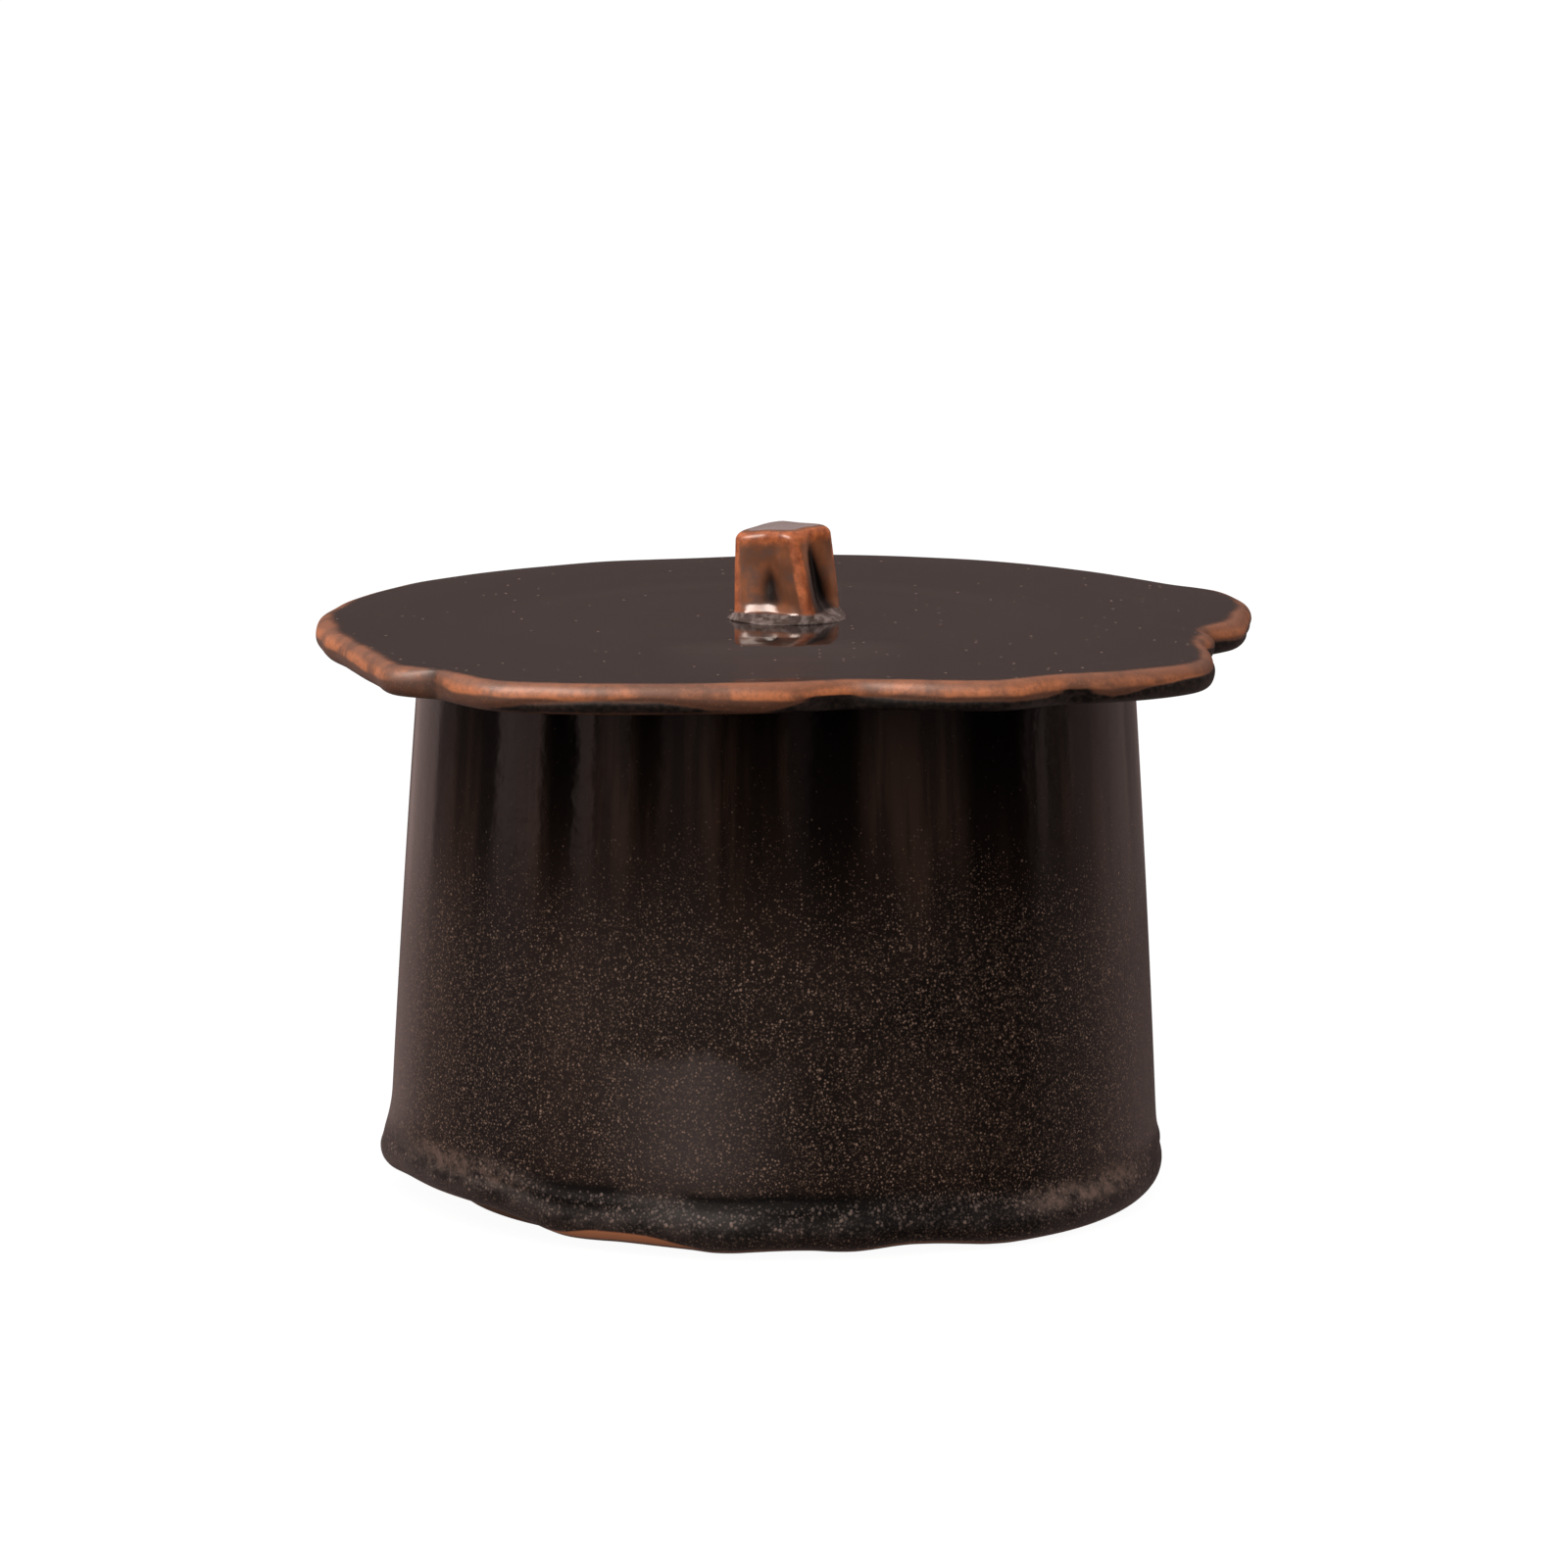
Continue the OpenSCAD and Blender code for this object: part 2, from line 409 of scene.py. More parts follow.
def iron_spots(n, color, height, cloud):
    """Adds the spots: few and faint above, closer lower down. Gives the small ones too."""
    drift = n.plus(height, n.times(n.minus(cloud, 0.5), 50 * MM))
    dense = n.ramp(drift, 56 * MM, 98 * MM, 0.85, 0.03)
    lower_down = n.minus(dense, 0.06)
    clear = n.ramp(height, 60 * MM, 90 * MM, 1.0, 0.30)
    tiny = n.spots(0.50 * MM, 0.24 * MM, n.times(dense, 0.95))
    small = n.spots(0.80 * MM, 0.28 * MM, n.times(lower_down, 1.15))
    medium = n.spots(2.4 * MM, 0.42 * MM, n.times(lower_down, 0.4))
    color = n.mix(n.times(tiny, n.times(clear, 0.62)), color, SPOT_TINY)
    color = n.mix(n.times(small, n.times(clear, 0.95)), color, SPOT_SMALL)
    return n.mix(n.times(medium, n.times(clear, 0.95)), color, SPOT_MEDIUM), small


def hem_glaze(n, color, x, fall):
    """Adds the hem: painted shade in the crease over a roll that is frosted, flecked and dusty.

    Gives the large flecks too. fall is the height over the hem's lower edge.
    """
    # Painted shade in the crease over the hem, deepest across the front.
    crease_shade_left = n.band(x, -41 * MM, 5 * MM, 13 * MM, 0.95)
    crease_shade_right = n.times(
        n.ramp(x, -23 * MM, -16 * MM), n.ramp(x, 12 * MM, 35 * MM, 0.85, 0.0)
    )
    depth = n.plus(n.math("MAXIMUM", crease_shade_left, crease_shade_right), 0.05)
    crease = n.between(fall, 7 * MM, 8.5 * MM, 11.5 * MM, 14 * MM)
    over_hem = n.between(fall, 2.5 * MM, 5 * MM, 8 * MM, 11.5 * MM)
    color = n.mix(n.times(over_hem, 0.85), color, HEM_DARK)
    color = n.mix(n.times(crease, depth), color, HEM_CREASE_SHADE)

    frost = n.noise(130.0, 4.0, 0.68)
    frosted = n.between(fall, 1.5 * MM, 3.5 * MM, 5 * MM, 8.5 * MM)
    frosted = n.times(frosted, n.ramp(frost, 0.40, 0.62))
    frosted = n.times(frosted, n.ramp(x, -30 * MM, 20 * MM, 0.75, 0.40))
    color = n.mix(frosted, color, HEM_FROST)

    flecked = n.between(fall, 3 * MM, 5 * MM, 9 * MM, 12 * MM)
    flecks = n.spots(0.62 * MM, 0.33 * MM, n.times(flecked, 0.78))
    large = n.spots(1.15 * MM, 0.52 * MM, n.times(flecked, 0.52))
    color = n.mix(n.times(flecks, n.ramp(frost, 0.38, 0.58, 0.12, 0.72)), color, HEM_FLECK)
    color = n.mix(n.times(large, n.ramp(frost, 0.38, 0.58, 0.22, 0.85)), color, HEM_FLECK_LARGE)

    dusty = n.between(n.size(x), 50 * MM, 62 * MM, 73 * MM, 84 * MM)
    dusty = n.times(dusty, n.between(fall, 5 * MM, 8 * MM, 9 * MM, 13 * MM))
    dusty = n.times(dusty, n.ramp(n.noise(300.0, 5.0, 0.75), 0.34, 0.68))
    return n.mix(n.times(dusty, 0.90), color, HEM_DUST), large


def hem_lip(n, color, x, fall):
    """Adds rust along the very edge, where the glaze pulled thin, widest at the left, and a painted
    shadow along the lowest edge under it.
    """
    lip = n.plus(fall, n.times(n.minus(n.noise(45.0, 2.0), 0.5), 1.2 * MM))
    lip = n.minus(lip, n.band(x, -33 * MM, 4 * MM, 19 * MM, 2 * MM))
    color = n.mix(n.ramp(lip, 0.6 * MM, 1.1 * MM, 0.88, 0.0), color, HEM_RUST)
    # Painted shadow: the hem's lowest edge is darkened, as the shadow over the foot.
    return n.mix(n.ramp(fall, 0.5 * MM, 1.2 * MM, 0.85, 0.0), color, HEM_EDGE_SHADOW)


def jar_glaze():
    """The wall: black and glassy near the rim, brown, satin and spotted lower down.

    Marks: fall is the height over the hem's lower edge, bare is 1 on unglazed clay.
    """
    material, n = new_material("jar_glaze")
    x, y, height = n.axes(n.place())
    ahead = n.times(y, -1.0)
    fall = n.mark("fall")
    bare = n.mark("bare")
    cloud = n.noise(26.0, 3.0, 0.55)
    runs = n.noise(75.0, 2.5, 0.55, n.stretched(z=0.05))

    color = jar_body(n, x, ahead, height, cloud, runs)
    # Painted sheen: a pale patch low on the front left of the wall.
    color = n.mix(n.times(painted_sheen_patch(n, x, ahead, height), 0.90), color, JAR_PAINTED_SHEEN)
    color, small = iron_spots(n, color, height, cloud)
    color, large = hem_glaze(n, color, x, fall)
    color = hem_lip(n, color, x, fall)
    color = n.mix(bare, color, bare_clay(n))

    satin = n.plus(height, n.times(n.minus(cloud, 0.5), 30 * MM))
    satin = n.ramp(satin, 55 * MM, 97 * MM, 0.33, 0.10)
    satin = n.plus(satin, n.times(n.plus(small, large), 0.12))
    satin = n.plus(satin, n.ramp(fall, 8 * MM, 13 * MM, 0.16, 0.0))
    roughness = n.math("ADD", satin, n.ramp(bare, 0.3, 0.7, 0.0, 0.6), clamp=True)
    skin = n.plus(
        n.plus(n.times(n.noise(240.0, 2.0), 0.30), n.times(runs, 0.7)),
        n.plus(n.times(large, 0.30), n.times(bare, n.times(n.noise(1600.0, 3.0), 0.5))),
    )
    finish_material(n, color, roughness, skin, 0.20 * MM)
    return material


def lid_band(n, x, inward, turn, mottle):
    """Rust round the edge, brightest where the glaze is thin: its share and colour."""
    wander = n.times(n.minus(n.noise(48.0, 3.0, 0.55), 0.5), 3.2 * MM)
    band = n.ramp(n.plus(inward, wander), 2.2 * MM, 4.6 * MM, 1.0, 0.0)
    thin = n.plus(turn, n.times(n.minus(n.noise(42.0, 3.0, 0.5), 0.5), 1.1))
    bright = n.times(n.ramp(thin, -0.05, 0.22), n.ramp(thin, 0.45, 0.85, 1.0, 0.35))
    rust = n.mix(bright, BAND_BROWN, BAND_RUST)
    rust = n.mix(n.ramp(x, 40 * MM, 80 * MM, 0.0, 0.45), rust, BAND_DULL)
    smoky = n.ramp(n.noise(95.0, 4.0, 0.62), 0.42, 0.62, 0.0, 0.80)
    rust = n.mix(smoky, rust, BAND_SMOKE)
    rust = n.mix(n.ramp(mottle, 0.42, 0.68, 0.0, 0.45), rust, BAND_MOTTLE)
    spots = n.spots(0.5 * MM, 0.20 * MM, 0.5)
    return band, n.mix(n.times(spots, 0.28), rust, BAND_SPOT)


def lid_normal(n, x, ahead, inward, turn):
    """The shading normal, which leans to the front a little way ahead of the knob.

    The lid mirrors the knob as if it fell away gently there. The lean grows with the
    distance ahead, then shrinks as 1 / distance, so that the mirror image ends sharply.
    """
    gap = n.math("MAXIMUM", n.minus(ahead, 11 * MM), 5 * MM)
    enough = n.minus(n.math("DIVIDE", 10.6 * MM, gap), 0.066)
    start = n.add("MapRange", {"Value": ahead, 1: 30.5 * MM, 2: 46.5 * MM, 3: 0.0, 4: 0.20})
    lean = n.math("MAXIMUM", n.math("MINIMUM", enough, start), 0.0)
    within = n.times(n.band(x, 2.5 * MM, 14 * MM, 34 * MM), n.ramp(inward, 5 * MM, 11 * MM))
    lean = n.times(lean, n.times(within, n.ramp(turn, 0.97, 0.99)))
    tilt = n.add("CombineXYZ", {1: n.times(lean, -1.0)})
    leaning = n.add("VectorMath", {0: n.add("NewGeometry", out=1), 1: tilt}, operation="ADD")
    return n.add("VectorMath", {0: leaning}, operation="NORMALIZE")


def lid_glaze():
    """The lid: dark and even on top, breaking to rust along the rounded edge.

    Marks: inward is the distance in from the edge, turn is -1 under the edge to 1 over
    it, pool is 1 where thick glaze gathered and in the painted shadow under the fold, and
    bare is 1 on unglazed clay.
    """
    material, n = new_material("lid_glaze")
    inward = n.mark("inward")
    turn = n.mark("turn")
    bare = n.mark("bare")
    x, y, _ = n.axes(n.place())
    mottle = n.noise(800.0, 3.0, 0.62)

    # Dark glaze on top, with faint rings of throwing and a few pale specks
    color = n.mix(n.noise(22.0, 3.0, 0.5), LID_DARK, LID_LIGHT)
    reach = n.math("SQRT", n.plus(n.times(x, x), n.times(y, y)))
    turned = n.add("CombineXYZ", {0: n.times(reach, 420.0), 1: n.math("ARCTAN2", y, x)})
    swirl = n.noise(1.0, 3.0, 0.6, turned)
    color = n.mix(n.ramp(swirl, 0.50, 0.75, 0.0, 0.40), color, LID_SWIRL)
    specks = n.spots(2.4 * MM, 0.42 * MM, 0.16)
    color = n.mix(specks, color, LID_SPECK)

    # The rust band, and dark glaze again underneath it
    band, rust = lid_band(n, x, inward, turn, mottle)
    color = n.mix(band, color, rust)
    # Dark glaze where it pooled, and the painted shadow under the fold.
    pool = n.plus(n.mark("pool"), n.times(n.minus(n.noise(150.0, 3.0, 0.6), 0.5), 0.5))
    dark = n.mix(n.ramp(mottle, 0.40, 0.70), POOL_DARK, POOL_LIGHT)
    color = n.mix(n.ramp(pool, 0.30, 0.75), color, dark)
    color = n.mix(bare, color, bare_clay(n))

    # Glassy round the knob, and satin further out
    outer = n.ramp(reach, 48 * MM, 70 * MM)
    satin = n.plus(n.ramp(outer, 0.0, 1.0, 0.07, 0.16), n.times(band, 0.38))
    roughness = n.plus(satin, n.ramp(bare, 0.3, 0.7, 0.0, 0.5))
    skin = n.plus(
        n.times(outer, n.times(n.noise(170.0, 2.0), 0.20)),
        n.plus(n.times(specks, 0.25), n.times(band, n.times(mottle, 0.35))),
    )
    leaning = lid_normal(n, x, n.times(y, -1.0), inward, turn)
    finish_material(n, color, roughness, skin, 0.12 * MM, normal=leaning)
    return material


def knob_glaze():
    """The knob: rust on the corners and the top edge, and dark glaze in the dents, widest and
    darkest on the right face as painted shade.

    Marks: ridge is 1 on a corner, pool is 1 in a dent, glass is 1 on the glaze that
    gathered round the foot, painted pale grey in places as a reflection, and top is 1 on
    the flat top, painted pale as the reflection of the sky.
    """
    material, n = new_material("knob_glaze")
    ridge = n.mark("ridge")
    glass = n.mark("glass")
    mottle = n.noise(420.0, 4.0, 0.62)
    broad = n.noise(120.0, 3.0, 0.5)
    grain = n.noise(1500.0, 3.0, 0.6)
    face = n.mix(n.ramp(broad, 0.35, 0.7), KNOB_BROWN, KNOB_RED)
    face = n.mix(n.ramp(n.noise(210.0, 4.0, 0.6), 0.46, 0.70, 0.0, 0.7), face, KNOB_GREY)
    rust = n.mix(n.ramp(mottle, 0.32, 0.68), KNOB_RUST_DARK, KNOB_RUST)
    rust = n.mix(n.ramp(grain, 0.40, 0.66, 0.0, 0.5), rust, KNOB_GRAIN)
    edge = n.plus(ridge, n.times(n.minus(mottle, 0.5), 0.7))
    color = n.mix(n.ramp(edge, 0.15, 0.95), face, rust)
    pool = n.plus(n.mark("pool"), n.times(n.minus(broad, 0.5), 0.15))
    # Dark glaze in the dents; on the right face it also paints the face's shade.
    color = n.mix(n.ramp(pool, 0.12, 0.72), color, KNOB_DENT)
    # The collar's glaze, mottled between its dark colour and a pale grey that paints in the sky's
    # reflection.
    glass_mottle = n.noise(500.0, 3.0, 0.6)
    color = n.mix(glass, color, n.mix(n.ramp(glass_mottle, 0.42, 0.66), KNOB_GLASS_DARK, KNOB_GLASS_SHEEN))
    # Painted reflection: the flat top is pale as it mirrors the bright sky.
    color = n.mix(n.mark("top"), color, KNOB_TOP_SHEEN)
    roughness = n.ramp(glass, 0.0, 1.0, n.plus(n.times(ridge, 0.16), 0.22), 0.12)
    skin = n.plus(n.times(mottle, 0.3), n.times(n.noise(300.0, 2.0), 0.3))
    skin = n.times(skin, n.ramp(glass, 0.0, 1.0, 1.0, 0.35))
    finish_material(n, color, roughness, skin, 0.08 * MM)
    return material


def clay_material():
    """Bare fired clay, with the fine lines that the wheel left."""
    material, n = new_material("bare_clay")
    lines = n.noise(900.0, 2.0, 0.5, n.stretched(x=0.02, y=0.02))
    grain = n.noise(1600.0, 3.0, 0.6)
    skin = n.plus(n.times(lines, 0.6), n.times(grain, 0.4))
    finish_material(n, bare_clay(n), n.ramp(grain, 0.0, 1.0, 0.62, 0.85), skin, 0.15 * MM, 0.3)
    return material


# ---------------------------------------------------------------- jar


WALL_ANGLES = 120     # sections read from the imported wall
WALL_ROUND = 480      # sections in the fine mesh
FLOOR_ROUND = 192     # points round the floor
ABOVE_HEM = 30 * MM   # the fall given to surfaces that the hem's glaze doesn't reach
pivot_r = 79.5 * MM   # a point inside the hem, from which its roll is read
pivot_z = 13 * MM


def read_wall():
    """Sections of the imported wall, shape (angles, points, 2), from the rim to the base."""
    tree = solid_of("jar_wall")
    heights = np.concatenate([
        np.linspace(rim_z - 1.2 * MM, 30 * MM, 34),
        np.linspace(28 * MM, pivot_z + 0.5 * MM, 14),
    ])
    downs = np.radians(np.linspace(0, 106, 30))
    sections = []
    for angle in np.arange(WALL_ANGLES) * 2 * np.pi / WALL_ANGLES:
        out = np.array([math.cos(angle), math.sin(angle), 0.0])
        section = [cast(tree, out * 0.2 + [0, 0, z], -out) for z in heights]
        start = out * pivot_r + [0, 0, pivot_z]
        for down in downs:
            ray = out * math.cos(down) - [0, 0, math.sin(down)]
            section.append(cast(tree, start, ray))
        sections.append(section)
    return np.array(sections)


def soften(sections, passes):
    """Evens out the facets along each section, and keeps its two ends."""
    for _ in range(passes):
        middle = 0.25 * sections[:, :-2] + 0.5 * sections[:, 1:-1] + 0.25 * sections[:, 2:]
        sections = np.concatenate([sections[:, :1], middle, sections[:, -1:]], 1)
    return sections


def make_wall():
    """The wall, from the mouth down over the hem and back up the inside."""
    outer = refine_ring(soften(read_wall(), 3), WALL_ROUND)
    angles = np.arange(WALL_ROUND) * 360 / WALL_ROUND
    # Slight unevenness that the wheel and the hand left, which fades out at the rim
    wobble = ripple(angles, [(3, 20, 0.10 * MM), (7, 130, 0.06 * MM), (13, 60, 0.035 * MM)])
    fade = smoothstep(0, 12 * MM, rim_z - outer[:, :, 1])
    outer[:, :, 0] += wobble[:, None] * fade
    low = outer[:, :, 1].min(1)
    rim_out = outer[:, 0, 0]
    rim_in = cavity_r(rim_z)

    # The mouth's inner and outer lips are rounded over, and its flat top is bare
    inner_lip = 1.6 * MM
    outer_lip = 1.2 * MM
    section = []
    for i, a in enumerate(np.radians(np.linspace(0, 90, 7))):
        section.append((
            rim_in + inner_lip * (1 - math.cos(a)), rim_z - inner_lip * (1 - math.sin(a)),
            1.0 if i > 2 else 0.0,
        ))
    section.append(((rim_in + rim_out) / 2, rim_z, 1.0))
    for a in np.radians(np.linspace(0, 80, 6)):
        section.append((
            rim_out - outer_lip * (1 - math.sin(a)), rim_z - outer_lip * (1 - math.cos(a)),
            1.0 if a < 0.9 else 0.0,
        ))
    for k in range(outer.shape[1]):
        section.append((outer[:, k, 0], outer[:, k, 1], 0.0))
    section += [
        (floor_r + 0.15 * MM, foot_z, 1.0), (floor_r, foot_z + 0.15 * MM, 1.0),
        (floor_r, floor_z, 0.0),
    ]
    inner = len(section) - 1
    for z in np.linspace(floor_z + 3 * MM, rim_z - 3 * MM, 26):
        ridge = 0.12 * MM * math.sin(z / (5.2 * MM) * 2 * math.pi)
        section.append((cavity_r(z) + ridge, z, 0.0))
    rings = [ring_points(r, z, WALL_ROUND) for r, z, _ in section]
    bare = np.array([np.full(WALL_ROUND, flag) for _, _, flag in section])
    fall = np.array([z - low for _, z, _ in section])
    fall[inner:] = ABOVE_HEM
    return loft("wall_glazed", rings, {"fall": fall, "bare": bare}, loop=True)


def cavity_r(z):
    """Radius of the jar's inside at a height."""
    return np.interp(z, [cavity_low[1], cavity_high[1]], [cavity_low[0], cavity_high[0]])


def make_floor():
    """The floor inside the jar, which curves up a little into the wall."""
    fillet = 5 * MM
    turns = np.radians(np.linspace(-90, 0, 9))
    corner = [
        (floor_r - 0.3 * MM - fillet * (1 - math.cos(a)), floor_z + fillet * (1 + math.sin(a)))
        for a in turns
    ]
    rings_r = np.linspace(2 * MM, floor_r - 7 * MM, 60)
    swirl = [
        (r, floor_z + 0.25 * MM * math.sin(r / (4.5 * MM)) * (1 - r / floor_r)) for r in rings_r
    ]
    underside = [(floor_r, foot_z), (2 * MM, foot_z)]
    outline = swirl + corner + [(floor_r, floor_z + fillet * 0.9)] + underside
    bare = [0.0] * (len(outline) - 2) + [1.0, 1.0]
    rings = [ring_points(r, z, FLOOR_ROUND) for r, z in outline]
    marks = {
        "bare": np.repeat(np.array(bare)[:, None], FLOOR_ROUND, 1),
        "fall": np.full((len(outline), FLOOR_ROUND), ABOVE_HEM),
    }
    return loft("floor_glazed", rings, marks)


def make_foot():
    """The foot ring, with its corners rounded."""
    outline = rounded(
        [(foot_inner_r, 0.0), (foot_r, 0.0), (foot_r, foot_z), (foot_inner_r, foot_z)],
        1.0 * MM, 6,
    )
    return lathe("foot_trimmed", outline)


# ---------------------------------------------------------------- lid


LID_ANGLES = 144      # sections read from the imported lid
LID_ROUND = 560       # sections in the fine mesh
sag_r = 82 * MM       # the lid is flat inside this radius


def read_lid():
    """Edge radius and height of the edge's middle, one of each per packed section."""
    mesh = nodes["lid_plate"].data
    co = np.zeros(len(mesh.vertices) * 3)
    mesh.vertices.foreach_get("co", co)
    co = co.reshape(-1, 3)
    radius = np.hypot(co[:, 0], co[:, 1])
    step = 360 / LID_ANGLES
    column = np.round(np.degrees(np.arctan2(co[:, 1], co[:, 0])) / step).astype(int) % LID_ANGLES
    edge = np.array([radius[column == i].max() for i in range(LID_ANGLES)])
    middle = np.array([
        co[(column == i) & (radius > edge[i] - 0.01 * MM), 2].mean() for i in range(LID_ANGLES)
    ])
    return edge, middle


# How far round the rolled edge the rust reaches before the glaze darkens again, as
# (angle, height): 1 is the top of the roll and -1 its underside
RUST_ENDS = [
    (0, -0.1), (25, -0.4), (60, 0.0), (95, -0.5), (130, -0.1), (165, -0.5), (200, -0.9),
    (236, -0.9), (243, -0.20), (250, 0.02), (257, -0.05), (263, -0.60), (269, -0.75),
    (274, -0.15), (279, 0.0), (284, -0.1), (290, -0.25), (296, -0.2), (303, -0.3), (307, 0.10),
    (311, -0.5), (316, 0.0), (322, 0.3), (332, 0.4), (344, 0.3),
]


def make_lid():
    """The lid's slab, with a rolled edge that was folded and pinched in places."""
    edge, middle = read_lid()
    edge = refine_ring(edge, LID_ROUND)
    sag = lid_z - lid_half - refine_ring(middle, LID_ROUND)
    angles = np.arange(LID_ROUND) * 360 / LID_ROUND
    # Small lumps from rolling the edge between fingers
    edge = edge + ripple(angles, [(23, 40, 0.16 * MM), (37, 210, 0.10 * MM)])
    crease = bump_at(angles, 227.5, 1.6)
    bites = bump_at(angles, 277.5, 3.4) + bump_at(angles, 306.8, 1.7)
    fold = bump_at(angles, 352, 3.5)
    # The roll starts along a smoother line than the edge itself
    even = edge
    for _ in range(18):
        even = (np.roll(even, 1) + even + np.roll(even, -1)) / 3
    flat_r = np.minimum(even - lid_half, edge - 0.6 * lid_half)
    rust_end = np.interp(angles, *zip(*RUST_ENDS), period=360)
    back = smoothstep(0.1, 0.7, np.sin(np.radians(angles)))
    front = smoothstep(234, 240, angles) * smoothstep(274, 266, angles)

    rings, inward, turn, pool = [], [], [], []

    def add(radius, height, side, dark):
        rings.append(ring_points(radius, height, LID_ROUND))
        inward.append(flat_r + lid_half - radius + 1.4 * MM * back)
        turn.append(np.full(LID_ROUND, side))
        pool.append(dark * np.ones(LID_ROUND))

    for r in np.linspace(4 * MM, sag_r, 58):
        add(r, lid_z + plateau(r), 1.0, 0.0)
    for t in np.linspace(0, 1, 16)[1:-1]:
        r = sag_r + t * (flat_r - sag_r)
        add(r, lid_z - sag * t * t, 1.0, 0.0)
    for a in np.radians(np.linspace(90, -90, 43)):
        high = math.sin(a)
        # The roll sits over a lower lip, with a shallow groove between the two
        groove = 0.22 * MM * np.exp(-(((high - rust_end) / 0.20) ** 2))
        pinch = 1.7 * MM * bites * smoothstep(0.10, -0.6, high)
        tuck = 0.9 * MM * crease + 0.8 * MM * fold * smoothstep(0.4, -0.5, high)
        out = np.cos(a) ** 0.80
        radius = flat_r + (edge - flat_r) * out - (pinch + tuck + groove) * out
        height = lid_z - lid_half - sag + lid_half * high
        under = smoothstep(rust_end + 0.26, rust_end - 0.30, high)
        under = under * (1 - front * (0.2 + 0.4 * smoothstep(-0.70, -0.92, high)))
        dark = np.maximum(0.93 * under, np.clip(1.5 * bites, 0, 1) * smoothstep(0.35, -0.1, high))
        dark = np.maximum(dark, 0.55 * crease)
        # Painted shadow under the fold, added to the dark glaze.
        dark = np.maximum(dark, fold * smoothstep(0.9, 0.3, high))
        add(radius, height, high, dark)
    for t in np.linspace(1, 0, 12)[1:]:
        r = sag_r + t * (flat_r - sag_r)
        add(r, rim_z - sag * t * t, -1.0, 1.0)
    for r in np.linspace(sag_r, 4 * MM, 12)[1:]:
        add(r, np.full(LID_ROUND, rim_z), -1.0, 1.0)

    radius = np.hypot(np.array(rings)[:, :, 0], np.array(rings)[:, :, 1])
    seat = (np.array(turn) < -0.9) & (radius < sag_r)
    marks = {
        "inward": inward, "turn": turn, "pool": pool,
        "bare": np.where(seat, smoothstep(sag_r - 1 * MM, sag_r - 3 * MM, radius), 0.0),
    }
    return loft("lid_folded", rings, marks)


def plateau(r):
    """Faint throwing rings on the lid, which fade out towards its edge."""
    return 0.03 * MM * math.sin(r / (3.4 * MM)) * smoothstep(34 * MM, 50 * MM, r) * (
        1 - smoothstep(60 * MM, 78 * MM, r)
    )


def make_flange():
    """The locating ring under the lid, with its corners rounded."""
    outline = rounded(
        [
            (flange_inner_r, flange_low_z), (flange_r, flange_low_z), (flange_r, rim_z),
            (flange_inner_r, rim_z),
        ],
        0.9 * MM, 6,
    )
    return lathe("flange_thrown", outline)


# ---------------------------------------------------------------- knob


KNOB_ROUND = 200      # points round the knob
KNOB_LEVELS = 90      # rings up its height
pool_r = 13.5 * MM    # radius of the glaze that gathered at its foot
pool_h = 2.4 * MM     # and how far it climbs


def read_knob():
    """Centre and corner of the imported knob, near its foot and near its top."""
    mesh = nodes["knob"].data
    co = np.zeros(len(mesh.vertices) * 3)
    mesh.vertices.foreach_get("co", co)
    co = co.reshape(-1, 3)
    height = co[:, 2].max() - co[:, 2].min()
    found = []
    for level, span in ((0.2, 0.03), (0.9, 0.03)):
        part = co[np.abs(co[:, 2] - lid_z - level * height) < span * height, :2]
        centre = (part.max(0) + part.min(0)) / 2
        away = np.hypot(*(part - centre).T)
        corner = part[away.argmax()] - centre
        found.append((centre, away.max(), math.degrees(math.atan2(corner[1], corner[0]))))
    return found


